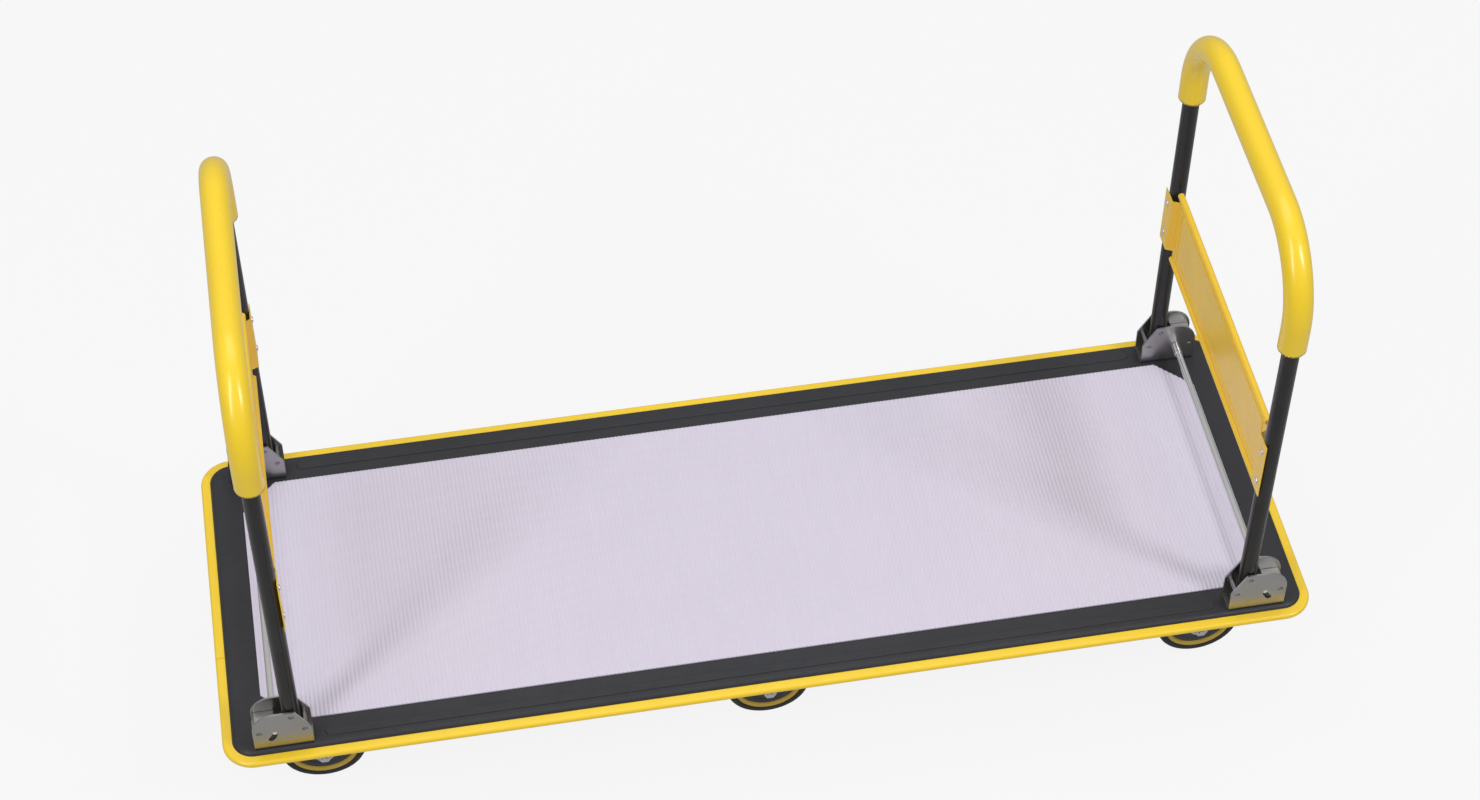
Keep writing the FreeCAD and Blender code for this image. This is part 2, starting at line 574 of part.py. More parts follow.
def handle_tube():
    path = handle_path(PIVOT_Z - FOOT_LENGTH)
    tube = bar_along(path, HANDLE_TUBE_DIAMETER)
    tube = tube.cut(bar_along(path, HANDLE_TUBE_DIAMETER - 2 * TUBE_WALL))
    bore = PIN_DIAMETER + 2 * PIVOT_RADIAL_CLEARANCE
    reach = LEG_Y + TUBE_RADIUS + MARGIN
    return tube.cut(cylinder_y(bore, PIVOT_X, PIVOT_Z, -reach, reach)).cut(rivet_cutters())


def handle_sleeve():
    low = HANDLE_TOP_Z - SLEEVE_DROP
    path = handle_path(low)
    sleeve = bar_along(path, SLEEVE_DIAMETER)
    sleeve = sleeve.makeFillet(SLEEVE_END_ROUNDING, edges_at_z(sleeve, low))
    return sleeve.cut(bar_along(handle_path(low - MARGIN), HANDLE_TUBE_DIAMETER))


def handle_panel():
    """Cross panel: flat sheet, rolled edges, raised frame, and end tabs set on the tubes."""
    tab_x = PIVOT_X - TUBE_RADIUS
    panel_x = PIVOT_X - PANEL_SETBACK
    flat_half = LEG_Y - TUBE_RADIUS - PANEL_SIDE_GAP
    tab_start = flat_half + PANEL_JOGGLE_WIDTH
    tab_end = LEG_Y + TUBE_RADIUS
    low = DECK_TOP + PANEL_BOTTOM
    high = low + PANEL_HEIGHT
    front = [(tab_x, tab_end), (tab_x, tab_start), (panel_x, flat_half),
             (panel_x, -flat_half), (tab_x, -tab_start), (tab_x, -tab_end)]
    back = [(x - PANEL_SHEET, y) for x, y in reversed(front)]
    outline = [vec(x, y, low) for x, y in front + back]
    sheet = Part.Face(Part.makePolygon(outline + outline[:1])).extrude(vec(0, 0, PANEL_HEIGHT))
    tab_low = DECK_TOP + TAB_BOTTOM
    tab_high = tab_low + TAB_HEIGHT
    for _, y_sign in SIDES:
        for z_low, z_high in ((low - MARGIN, tab_low), (tab_high, high + MARGIN)):
            y_edges = sorted((y_sign * flat_half, y_sign * (tab_end + MARGIN)))
            sheet = sheet.cut(block(tab_x - PANEL_SHEET - MARGIN, panel_x + MARGIN, *y_edges, z_low, z_high))
    middle = panel_x - PANEL_SHEET / 2
    hems = [cylinder_y(PANEL_HEM_DIAMETER, middle, z, -flat_half, flat_half) for z in (low, high)]
    face_x = panel_x - PANEL_SHEET

    def frame_block(inset, x_low, x_high):
        half = flat_half - inset
        return block(x_low, x_high, -half, half, low + inset, high - inset)

    frame = frame_block(FRAME_INSET, face_x - FRAME_RISE, face_x)
    frame = frame.cut(frame_block(FRAME_INSET + FRAME_WIDTH, face_x - FRAME_RISE - MARGIN, face_x + MARGIN))
    return sheet.multiFuse(hems + [frame]).removeSplitter().cut(rivet_cutters())


def handle_rivets():
    """Domed rivets through the tabs into the tube wall."""
    face = PIVOT_X - TUBE_RADIUS - PANEL_SHEET
    rivets = []
    for y, z in rivet_places():
        head = cylinder_x(RIVET_HEAD, y, z, face - RIVET_HEAD_HEIGHT, face)
        rim = [e for e in head.Edges if abs(e.BoundBox.XMax - face + RIVET_HEAD_HEIGHT) < 1e-6]
        head = head.makeFillet(RIVET_DOME, rim)
        shank = cylinder_x(RIVET_SHANK, y, z, face, face + PANEL_SHEET + TUBE_WALL + RIVET_TAIL)
        rivets.append(head.fuse(shank).removeSplitter())
    return group(rivets)


# ---- casters --------------------------------------------------------------------------------
def bolt_spots(x, y):
    return [(x + i * BOLT_SPACING_X / 2, y + j * BOLT_SPACING_Y / 2) for i in (-1, 1) for j in (-1, 1)]


def bolt_holes(x, y):
    top = PLATE_TOP + CROSS_SHEET + MARGIN
    return [cylinder_z(CASTER_BOLT_DIAMETER, bx, by, PLATE_BOTTOM - MARGIN, top)
            for bx, by in bolt_spots(x, y)]


def top_plate(x, y):
    plate = rounded_block(PLATE_LENGTH, PLATE_WIDTH, PLATE_BOTTOM, PLATE_TOP, PLATE_CORNER_RADIUS)
    plate.translate(vec(x, y, 0))
    return plate.cut(Part.makeCompound(bolt_holes(x, y)))


def swivel_plate(x, y):
    """Top plate with the fixed half of the ball race and the riveted kingpin."""
    head_high = CROWN_BOTTOM - SWIVEL_GAP
    head_low = head_high - KINGPIN_HEAD_HEIGHT
    race = cylinder_z(RACE_DIAMETER, x, y, RACE_BOTTOM, PLATE_BOTTOM)
    kingpin = cylinder_z(KINGPIN_DIAMETER, x, y, head_low, RACE_BOTTOM + MARGIN)
    head = cylinder_z(KINGPIN_HEAD_DIAMETER, x, y, head_low, head_high)
    return top_plate(x, y).multiFuse([race, kingpin, head]).removeSplitter()


def tangent_point(point, centre, radius, side):
    """Where a line from the point touches the circle, on the left (1) or right (-1) of the line."""
    dx, dz = centre[0] - point[0], centre[1] - point[1]
    distance = math.hypot(dx, dz)
    angle = math.atan2(dz, dx) + side * math.asin(radius / distance)
    reach = math.sqrt(distance ** 2 - radius ** 2)
    return point[0] + reach * math.cos(angle), point[1] + reach * math.sin(angle)


def fork_leg(x_middle, half_top, z_top, z_shoulder, axle_x, boss_radius, y_low, y_high):
    """Leg narrowing from its top edge to a round boss about the axle."""
    axle = (axle_x, WHEEL_RADIUS)
    inner = (x_middle - half_top, z_shoulder)
    outer = (x_middle + half_top, z_shoulder)
    outline = [(x_middle - half_top, z_top), inner, tangent_point(inner, axle, boss_radius, -1), axle,
               tangent_point(outer, axle, boss_radius, 1), outer, (x_middle + half_top, z_top)]
    leg = plate_in_xz(outline, y_low, y_high)
    return leg.fuse(cylinder_y(2 * boss_radius, axle_x, WHEEL_RADIUS, y_low, y_high)).removeSplitter()


def leg_pair(y, **shape):
    inside = FORK_GAP / 2
    spans = ((y - inside - FORK_SHEET, y - inside), (y + inside, y + inside + FORK_SHEET))
    return [fork_leg(y_low=low, y_high=high, **shape) for low, high in spans]


def axle_cutter(x, y):
    reach = FORK_HALF_WIDTH + MARGIN
    return cylinder_y(AXLE_DIAMETER, x, WHEEL_RADIUS, y - reach, y + reach)


def swivel_fork(x_sign, x, y):
    axle_x = x + x_sign * CASTER_TRAIL
    half_length = FORK_CROWN_LENGTH / 2
    crown = block(x - half_length, x + half_length, y - FORK_HALF_WIDTH, y + FORK_HALF_WIDTH,
                  CROWN_BOTTOM, CROWN_TOP)
    legs = leg_pair(y, x_middle=x, half_top=half_length, z_top=CROWN_TOP,
                    z_shoulder=CROWN_BOTTOM - FORK_SHOULDER_DROP,
                    axle_x=axle_x, boss_radius=FORK_BOSS_RADIUS)
    bore = KINGPIN_DIAMETER + 2 * AXLE_RADIAL_CLEARANCE
    fork = crown.multiFuse(legs).removeSplitter()
    fork = fork.cut(cylinder_z(bore, x, y, CROWN_BOTTOM - MARGIN, CROWN_TOP + MARGIN))
    return fork.cut(axle_cutter(axle_x, y))


def rigid_fork(y):
    legs = leg_pair(y, x_middle=0, half_top=RIGID_LEG_TOP_LENGTH / 2, z_top=PLATE_BOTTOM,
                    z_shoulder=CROWN_BOTTOM, axle_x=0, boss_radius=RIGID_BOSS_RADIUS)
    return top_plate(0, y).multiFuse(legs).removeSplitter().cut(axle_cutter(0, y))


def axle_bolt(x, y):
    """Hex bolt through fork and hub, its nut on the outer side of the cart."""
    out = 1 if y > 0 else -1
    centre = vec(x, y, WHEEL_RADIUS)
    outward = vec(0, out, 0)
    start = centre - outward * (FORK_HALF_WIDTH + AXLE_HEAD_HEIGHT)
    length = 2 * FORK_HALF_WIDTH + AXLE_HEAD_HEIGHT + AXLE_NUT_HEIGHT + AXLE_THREAD_END
    shank = Part.makeCylinder(AXLE_DIAMETER / 2, length, start, outward)
    bolt = hexagon(AXLE_HEX, AXLE_HEAD_HEIGHT, start, outward).fuse(shank).removeSplitter()
    nut = hexagon(AXLE_HEX, AXLE_NUT_HEIGHT, centre + outward * FORK_HALF_WIDTH, outward).cut(shank)
    return [bolt, nut]


def caster_bolt(x, y):
    """Bolt head inside the cross member, nut under the caster plate."""
    head_low = PLATE_TOP + CROSS_SHEET
    nut_low = PLATE_BOTTOM - NUT_HEIGHT
    shank = cylinder_z(CASTER_BOLT_DIAMETER, x, y, nut_low - MARGIN, head_low + MARGIN)
    head = hexagon(CASTER_BOLT_HEX, BOLT_HEAD_HEIGHT, vec(x, y, head_low), Z_AXIS)
    nut = hexagon(CASTER_BOLT_HEX, NUT_HEIGHT, vec(x, y, nut_low), Z_AXIS).cut(shank)
    return [head.fuse(shank).removeSplitter(), nut]


def wheel_tyre(x, y):
    half = WHEEL_WIDTH / 2
    tyre = cylinder_y(WHEEL_DIAMETER, x, WHEEL_RADIUS, y - half, y + half)
    rims = [e for e in tyre.Edges if e.BoundBox.YLength < 1e-6]
    tyre = tyre.makeFillet(TYRE_SHOULDER, rims)
    reach = half + MARGIN
    return tyre.cut(cylinder_y(TYRE_INNER_DIAMETER, x, WHEEL_RADIUS, y - reach, y + reach))


def wheel_core(x, y):
    """Plastic rim, disc and hub in one piece."""
    def bar(diameter, width):
        return cylinder_y(diameter, x, WHEEL_RADIUS, y - width / 2, y + width / 2)

    rim = bar(TYRE_INNER_DIAMETER, RIM_WIDTH).cut(bar(RIM_INNER_DIAMETER, RIM_WIDTH + MARGIN))
    disc = bar(RIM_INNER_DIAMETER, DISC_WIDTH)
    core = rim.multiFuse([disc, bar(HUB_DIAMETER, HUB_LENGTH)]).removeSplitter()
    return core.cut(bar(AXLE_DIAMETER + 2 * AXLE_RADIAL_CLEARANCE, HUB_LENGTH + MARGIN))


def wheel_covers(x, y):
    """Ring covers pressed in beside the disc, one on each face."""
    covers = []
    for low in (y - DISC_WIDTH / 2 - COVER_THICKNESS, y + DISC_WIDTH / 2):
        high = low + COVER_THICKNESS
        ring = cylinder_y(RIM_INNER_DIAMETER, x, WHEEL_RADIUS, low, high)
        covers.append(ring.cut(cylinder_y(HUB_DIAMETER, x, WHEEL_RADIUS, low - MARGIN, high + MARGIN)))
    return group(covers)


def export_wheel(place, x, y):
    export("wheel_tyre_" + place, wheel_tyre(x, y))
    export("wheel_core_" + place, wheel_core(x, y))
    export("wheel_covers_" + place, wheel_covers(x, y))


# ---- assembly -------------------------------------------------------------------------------
def export_platform():
    export("deck_plate", deck_plate())
    export("deck_mat", deck_mat())
    export("edge_bumper", edge_bumper())
    for name, x in (("left", -KINGPIN_X), ("middle", 0), ("right", KINGPIN_X)):
        export("cross_member_" + name, cross_member(x))


def export_brackets():
    bracket = handle_bracket()
    coil, legs = torsion_spring()
    springs = []
    for end, x_sign in ENDS:
        for side, y_sign in SIDES:
            export("handle_bracket_%s_%s" % (end, side), mirrored(bracket, x_sign, y_sign))
            springs.append(mirrored(coil.multiFuse(legs), x_sign, y_sign))
    export("rod_springs", group(springs))
    export("bracket_pins", bracket_pins())
    bolts = [solid for x, y in bracket_bolt_places() for solid in carriage_bolt(x, y)]
    export("bracket_bolts", group(bolts))


def export_handles():
    parts = {"handle_tube": handle_tube(), "handle_sleeve": handle_sleeve(),
             "handle_panel": handle_panel(), "handle_rivets": handle_rivets(),
             "release_rod": release_rod(), "rod_collars": rod_collars(),
             "release_levers": release_levers()}
    for end, x_sign in ENDS:
        for name, shape in parts.items():
            export("%s_%s" % (name, end), mirrored(shape, x_sign, 1))


def export_casters():
    bolts = []
    rigid_forks = []
    rigid_axles = []
    for side, y_sign in SIDES:
        y = y_sign * CASTER_Y
        rigid_forks.append(rigid_fork(y))
        export_wheel("middle_" + side, 0, y)
        rigid_axles += axle_bolt(0, y)
        stations = [0]
        for end, x_sign in ENDS:
            place = end + "_" + side
            x = x_sign * KINGPIN_X
            stations.append(x)
            export("swivel_plate_" + place, swivel_plate(x, y))
            export("swivel_fork_" + place, swivel_fork(x_sign, x, y))
            export("swivel_axle_" + place, group(axle_bolt(x_sign * WHEEL_X, y)))
            export_wheel(place, x_sign * WHEEL_X, y)
        bolts += [solid for x in stations for spot in bolt_spots(x, y) for solid in caster_bolt(*spot)]
    export("rigid_forks", group(rigid_forks))
    export("rigid_axles", group(rigid_axles))
    export("caster_bolts", group(bolts))


os.makedirs("parts", exist_ok=True)
export_platform()
export_brackets()
export_handles()
export_casters()
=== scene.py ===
import json
import math

import bmesh
import bpy
from mathutils import Matrix, Vector


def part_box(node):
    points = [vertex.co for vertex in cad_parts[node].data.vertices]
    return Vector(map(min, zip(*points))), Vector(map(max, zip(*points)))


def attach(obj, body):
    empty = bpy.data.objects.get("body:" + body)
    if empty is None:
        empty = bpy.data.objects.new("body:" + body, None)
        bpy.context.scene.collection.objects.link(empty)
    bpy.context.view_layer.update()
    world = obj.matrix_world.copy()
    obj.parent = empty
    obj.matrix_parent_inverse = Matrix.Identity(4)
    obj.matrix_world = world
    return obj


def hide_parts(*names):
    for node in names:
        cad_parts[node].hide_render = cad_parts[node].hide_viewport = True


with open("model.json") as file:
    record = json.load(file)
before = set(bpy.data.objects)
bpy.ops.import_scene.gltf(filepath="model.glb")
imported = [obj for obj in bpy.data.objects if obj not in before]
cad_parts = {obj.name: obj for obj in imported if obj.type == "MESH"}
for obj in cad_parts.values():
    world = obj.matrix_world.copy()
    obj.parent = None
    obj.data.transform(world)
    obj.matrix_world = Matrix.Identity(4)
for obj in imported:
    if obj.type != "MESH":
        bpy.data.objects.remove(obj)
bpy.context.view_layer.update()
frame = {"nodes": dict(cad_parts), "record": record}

# Camera of the studio shot: place in metres, angles in degrees.
CAMERA_PLACE = (-0.5354, -2.9442, 3.9013)
CAMERA_YAW = 10.106
CAMERA_PITCH = 48.581
CAMERA_ROLL = 0.04
CAMERA_LENS = 75.73
CAMERA_SENSOR_WIDTH = 36.0
CAMERA_CLIP_END = 60

# Studio cove, metres. The floor is flat out to where the bend begins.
COVE_FLOOR_RING = 4.0
COVE_RADIUS = 14.0
COVE_BEND = 3.0
COVE_HEIGHT = 12.0
COVE_STEPS = 72
COVE_BEND_STEPS = 12

# Brightness of the soft dome round the cart.
WORLD_BELOW = 0.55
WORLD_HORIZON = 0.34
WORLD_OVERHEAD = 0.60

# Area lights: name, place, target, width, height (metres), power (watts).
SOFTBOXES = (
    ("softbox_left", (-3.46, -2.96, 4.6), (-0.6, -0.1, 0.2), 0.8, 4.2, 106),
    ("softbox_right", (3.46, -2.96, 4.6), (0.6, -0.1, 0.2), 0.9, 1.6, 91),
    ("softbox_top", (0, 1.2, 5.0), (0, 0, 0.2), 4.0, 2.5, 43),
)

ENDS = (("left", -1), ("right", 1))
SIDES = (("front", -1), ("back", 1))
PLACES = [end + "_" + side for end, _ in ENDS for side, _ in SIDES]
WHEELS = PLACES + ["middle_front", "middle_back"]
MM = 0.001

# Sizes the CAD boxes do not give.
HANDLE_BEND = 120 * MM
TUBE_RADIUS = 12.7 * MM
RIB_PITCH = 6.25 * MM
RIB_HEIGHT = 1.0 * MM
MAT_CUT = 52 * MM
MAT_EDGE_CHAMFER = 0.6 * MM
SLEEVE_MOUTH = 5.0 * MM
SLEEVE_MOUTH_STEPS = 8
TYRE_INNER_RADIUS = 52.5 * MM

# One rib of the mat: place across the rib as a share of the pitch, height as a share of the rib height.
RIB_SHAPE = ((-0.5, 0.0), (-0.36, 0.08), (-0.27, 0.55), (-0.17, 0.92), (0.0, 1.0),
             (0.17, 0.92), (0.27, 0.55), (0.36, 0.08))

# Outer corner of the tyre (mm): distance in from the side face, depth below the tread.
TYRE_SHOULDER = ((0.0, 6.0), (0.5, 4.2), (2.0, 2.0), (4.2, 0.6), (6.5, 0.0))

# Tread groove on one side (mm): distance from the wheel's middle plane, depth below the tread.
TYRE_GROOVE = ((5.6, 0.0), (5.1, 0.9), (4.1, 0.9), (3.6, 0.0))

# Section of one dust cover (mm): distance from the wheel's middle plane, radius.
COVER_SECTION = ((8.2, 14.3), (11.6, 14.3), (12.0, 15.0), (12.0, 21.0), (11.2, 22.0), (11.2, 35.5),
                 (12.0, 36.5), (12.0, 43.6), (11.4, 44.4), (8.2, 44.4))

# Half section of hub, disc and rim bead (mm): distance from the wheel's middle plane, radius.
RIM_HALF_SECTION = ((18.4, 5.1), (18.4, 12.6), (17.0, 14.0), (8.0, 14.0), (8.0, 44.6), (13.3, 45.2),
                    (14.0, 45.9), (14.5, 47.6), (14.5, 50.8), (14.0, 52.0), (13.2, 52.4))

# Width (mm) of the small round on the edges of the CAD nodes whose names start like this.
EDGE_ROUNDS = {"handle_bracket": 0.5, "rigid_forks": 0.5, "swivel_fork": 0.5, "cross_member": 0.8,
               "swivel_plate": 0.5, "release_rod": 0.5, "release_levers": 0.4, "rod_collars": 0.6,
               "bracket_pins": 0.6, "handle_panel": 0.45, "rigid_axles": 0.4, "swivel_axle": 0.4,
               "bracket_bolts": 0.3, "caster_bolts": 0.4, "handle_tube": 0.3, "edge_bumper": 0.3,
               "deck_plate": 0.5}
EDGE_ROUND_ANGLE = 35
WELD_DISTANCE = 0.01 * MM


# ---- node helpers -----------------------------------------------------------------------------
class Shader:
    """A material under construction: the Principled node and short calls that add nodes to it."""

    def __init__(self, name):
        self.material = bpy.data.materials.new(name)
        self.material.use_nodes = True
        self.tree = self.material.node_tree
        self.surface = self.tree.nodes["Principled BSDF"]
        self.coords = self.tree.nodes.new("ShaderNodeTexCoord").outputs["Object"]

    def add(self, kind, **sockets):
        node = self.tree.nodes.new(kind)
        for name, value in sockets.items():
            self.put(node.inputs[name.replace("_", " ")], value)
        return node

    def put(self, socket, value):
        if isinstance(value, bpy.types.NodeSocket):
            self.tree.links.new(value, socket)
        else:
            socket.default_value = value

    def noise(self, scale, detail=3.0, stretch=(1, 1, 1)):
        mapping = self.add("ShaderNodeMapping", Vector=self.coords, Scale=stretch)
        node = self.add("ShaderNodeTexNoise", Vector=mapping.outputs[0], Scale=scale, Detail=detail,
                        Roughness=0.55)
        return node.outputs["Fac"]

    def levels(self, value, low, high, out_low=0.0, out_high=1.0):
        node = self.add("ShaderNodeMapRange", Value=value)
        for socket, number in zip(node.inputs[1:5], (low, high, out_low, out_high)):
            socket.default_value = number
        return node.outputs[0]

    def blend(self, factor, first, second):
        node = self.tree.nodes.new("ShaderNodeMix")
        node.data_type = "RGBA"
        self.put(node.inputs[0], factor)
        self.put(node.inputs[6], (*first, 1) if isinstance(first, tuple) else first)
        self.put(node.inputs[7], (*second, 1) if isinstance(second, tuple) else second)
        return node.outputs[2]

    def maths(self, kind, first, second):
        node = self.tree.nodes.new("ShaderNodeMath")
        node.operation = kind
        self.put(node.inputs[0], first)
        self.put(node.inputs[1], second)
        return node.outputs[0]

    def bump(self, height, distance, strength):
        node = self.add("ShaderNodeBump", Height=height, Distance=distance, Strength=strength)
        self.put(self.surface.inputs["Normal"], node.outputs[0])

    def set(self, **sockets):
        for name, value in sockets.items():
            self.put(self.surface.inputs[name.replace("_", " ")], value)


def tint(color, factor):
    return tuple(min(1.0, c * factor) for c in color)


# ---- materials --------------------------------------------------------------------------------
def deck_paint():
    """Textured powder coat: fine orange peel, slight cloudiness, faint lighter specks."""
    s = Shader("deck_paint")
    base = (0.0190, 0.0198, 0.0250)
    cloud = s.levels(s.noise(9.0, 4), 0.35, 0.7)
    grain = s.levels(s.noise(900.0, 2), 0.4, 0.62)
    color = s.blend(cloud, tint(base, 0.88), tint(base, 1.15))
    color = s.blend(s.maths("MULTIPLY", grain, 0.35), color, tint(base, 1.7))
    s.set(Base_Color=color, Roughness=s.levels(s.noise(60.0, 3), 0.3, 0.7, 0.42, 0.55))
    s.bump(s.noise(700.0, 2), 0.00018, 0.6)
    return s.material


def member_paint():
    """Satin powder coat of the cross members."""
    s = Shader("member_paint")
    base = (0.028, 0.028, 0.03)
    s.set(Base_Color=s.blend(s.levels(s.noise(14.0), 0.3, 0.7), tint(base, 0.8), tint(base, 1.3)),
          Roughness=s.levels(s.noise(80.0), 0.3, 0.7, 0.4, 0.6))
    s.bump(s.noise(600.0, 2), 0.00015, 0.5)
    return s.material


def mat_vinyl():
    """Pale ribbed vinyl: rib flanks shade themselves, the skin is finely grained and a little uneven."""
    s = Shader("mat_vinyl")
    base = (0.705, 0.655, 0.775)
    cloud = s.levels(s.noise(5.0, 4), 0.35, 0.7)
    streak = s.levels(s.noise(60.0, 2, stretch=(1, 0.02, 1)), 0.35, 0.65)
    color = s.blend(cloud, tint(base, 0.985), tint(base, 1.01))
    color = s.blend(s.maths("MULTIPLY", streak, 0.15), color, tint(base, 1.07))
    s.set(Base_Color=color, Roughness=s.levels(s.noise(220.0), 0.3, 0.7, 0.5, 0.64))
    s.surface.inputs["Specular IOR Level"].default_value = 0.35
    s.bump(s.noise(1500.0, 2), 0.00008, 0.5)
    return s.material


def moulded_yellow(name, base, rough_low, rough_high, coat):
    """Smooth moulded plastic with faint flow marks."""
    s = Shader(name)
    flow = s.levels(s.noise(7.0, 4), 0.3, 0.72)
    speck = s.levels(s.noise(420.0, 2), 0.45, 0.65)
    color = s.blend(flow, tint(base, 0.99), tint(base, 1.01))
    color = s.blend(s.maths("MULTIPLY", speck, 0.03), color, tint(base, 0.85))
    s.set(Base_Color=color, Roughness=s.levels(s.noise(35.0, 4), 0.3, 0.7, rough_low, rough_high))
    s.surface.inputs["Coat Weight"].default_value = coat
    s.surface.inputs["Coat Roughness"].default_value = 0.25
    s.bump(s.noise(300.0, 2), 0.00002, 0.4)
    return s.material


def panel_yellow():
    """Enamel on pressed sheet: soft orange peel and slightly deeper tone than the plastics."""
    s = Shader("panel_yellow")
    base = (1.0, 0.62, 0.030)
    color = s.blend(s.levels(s.noise(11.0), 0.3, 0.7), tint(base, 0.94), tint(base, 1.05))
    s.set(Base_Color=color, Roughness=s.levels(s.noise(90.0), 0.3, 0.7, 0.3, 0.42))
    s.surface.inputs["Coat Weight"].default_value = 0.3
    s.surface.inputs["Coat Roughness"].default_value = 0.2
    s.bump(s.noise(260.0, 2), 0.0001, 0.5)
    return s.material


def worked_metal(name, base, roughness, stretch, grain=1800.0, grain_depth=0.00004):
    """Plated or bright steel with a directional grain and slight cloudy tarnish."""
    s = Shader(name)
    cloud = s.levels(s.noise(18.0, 4), 0.32, 0.72)
    lines = s.noise(grain, 2, stretch=stretch)
    color = s.blend(cloud, tint(base, 0.95), tint(base, 1.04))
    color = s.blend(s.maths("MULTIPLY", s.levels(lines, 0.4, 0.6), 0.10), color, tint(base, 0.85))
    rough = s.levels(s.noise(40.0, 4), 0.3, 0.7, roughness * 0.93, roughness * 1.1)
    s.set(Base_Color=color, Roughness=rough)
    s.surface.inputs["Metallic"].default_value = 1.0
    s.bump(lines, grain_depth, 0.2)
    return s.material


def tube_black():
    """Gloss enamel over drawn tube."""
    s = Shader("tube_black")
    base = (0.012, 0.012, 0.0125)
    s.set(Base_Color=s.blend(s.levels(s.noise(20.0), 0.3, 0.7), tint(base, 0.8), tint(base, 1.4)),
          Roughness=s.levels(s.noise(120.0), 0.3, 0.7, 0.27, 0.36))
    s.surface.inputs["Specular IOR Level"].default_value = 0.42
    s.bump(s.noise(180.0, 2), 0.00009, 0.4)
    return s.material


def tyre_rubber():
    """Solid rubber, dusty on the tread."""
    s = Shader("tyre_rubber")
    base = (0.022, 0.022, 0.023)
    dust = s.levels(s.noise(55.0, 5), 0.45, 0.75, 0.0, 0.5)
    s.set(Base_Color=s.blend(dust, base, (0.06, 0.058, 0.055)),
          Roughness=s.levels(s.noise(200.0), 0.3, 0.7, 0.62, 0.85))
    s.bump(s.noise(800.0, 3), 0.0002, 0.6)
    return s.material


def cover_dark():
    """Moulded dark plastic of the dust covers."""
    s = Shader("cover_dark")
    base = (0.035, 0.036, 0.04)
    s.set(Base_Color=s.blend(s.levels(s.noise(30.0), 0.3, 0.7), tint(base, 0.8), tint(base, 1.3)),
          Roughness=s.levels(s.noise(150.0), 0.3, 0.7, 0.4, 0.55))
    s.bump(s.noise(900.0, 2), 0.0001, 0.5)
    return s.material


def floor_paint():
    """Pale studio floor that glows a little, so it stays even."""
    s = Shader("floor_pale")
    base = (0.06, 0.06, 0.06)
    s.set(Base_Color=s.blend(s.levels(s.noise(1.5), 0.3, 0.7), tint(base, 0.97), base), Roughness=1.0)
    s.surface.inputs["Specular IOR Level"].default_value = 0.0
    s.surface.inputs["Emission Color"].default_value = (1, 1, 1, 1)
    s.surface.inputs["Emission Strength"].default_value = 0.88
    s.bump(s.noise(40.0), 0.0002, 0.1)
    return s.material


def make_materials():
    return {
        "deck_paint": deck_paint(),
        "member_paint": member_paint(),
        "mat_vinyl": mat_vinyl(),
        "bumper_yellow": moulded_yellow("bumper_yellow", (1.0, 0.675, 0.022), 0.29, 0.31, 0.5),
        "sleeve_yellow": moulded_yellow("sleeve_yellow", (1.0, 0.69, 0.017), 0.27, 0.29, 0.5),
        "core_yellow": moulded_yellow("core_yellow", (0.62, 0.42, 0.06), 0.4, 0.5, 0.0),
        "panel_yellow": panel_yellow(),
        "bracket_zinc": worked_metal("bracket_zinc", (0.44, 0.435, 0.43), 0.33, (0.06, 1, 1)),
        "pin_steel": worked_metal("pin_steel", (0.30, 0.30, 0.30), 0.3, (1, 0.05, 1)),
        "spring_steel": worked_metal("spring_steel", (0.34, 0.34, 0.35), 0.3, (1, 1, 1)),
        "fastener_zinc": worked_metal("fastener_zinc", (0.60, 0.60, 0.63), 0.32, (1, 1, 1)),
        "caster_zinc": worked_metal("caster_zinc", (0.58, 0.58, 0.62), 0.34, (1, 1, 0.08)),
        "rod_chrome": worked_metal("rod_chrome", (0.86, 0.86, 0.87), 0.08, (1, 0.03, 1), 1500.0, 0.00001),
        "collar_chrome": worked_metal("collar_chrome", (0.70, 0.70, 0.71), 0.18, (1, 1, 1), 1500.0, 0.00002),
        "rivet_steel": worked_metal("rivet_steel", (0.78, 0.78, 0.80), 0.22, (1, 1, 1)),
        "tube_black": tube_black(),
        "tyre_rubber": tyre_rubber(),
        "cover_dark": cover_dark(),
    }


# ---- mesh helpers -----------------------------------------------------------------------------
def new_piece(name, vertices, faces, material):
    mesh = bpy.data.meshes.new(name)
    mesh.from_pydata([tuple(v) for v in vertices], [], faces)
    bm = bmesh.new()
    bm.from_mesh(mesh)
    bmesh.ops.recalc_face_normals(bm, faces=bm.faces)
    bm.to_mesh(mesh)
    bm.free()
    mesh.materials.append(material)
    for polygon in mesh.polygons:
        polygon.use_smooth = True
    piece = bpy.data.objects.new(name, mesh)
    bpy.context.scene.collection.objects.link(piece)
    return piece


def hand_over(piece, body, slot, *replaced):
    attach(piece, body)
    if replaced:
        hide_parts(*replaced)


def soften(piece, width):
    """Small round on the sharp edges."""
    joined = piece.modifiers.new("weld", "WELD")
    joined.merge_threshold = WELD_DISTANCE
    bevel = piece.modifiers.new("edge_round", "BEVEL")
    bevel.width = width
    bevel.segments = 2
    bevel.limit_method = "ANGLE"
    bevel.angle_limit = math.radians(EDGE_ROUND_ANGLE)
    normals = piece.modifiers.new("normals", "WEIGHTED_NORMAL")
    normals.keep_sharp = True


def lathe(name, profile, centre, material, steps=96):
    """Turns a closed outline of (distance along Y, radius) pairs round an axis along Y."""
    rows = len(profile)
    vertices = []
    for i in range(steps):
        angle = 2 * math.pi * i / steps
        for along, radius in profile:
            vertices.append((centre[0] + radius * math.cos(angle), centre[1] + along,
                             centre[2] + radius * math.sin(angle)))
    faces = []
    for i in range(steps):
        j = (i + 1) % steps
        for k in range(rows):
            n = (k + 1) % rows
            faces.append((i * rows + k, i * rows + n, j * rows + n, j * rows + k))
    return new_piece(name, vertices, faces, material)


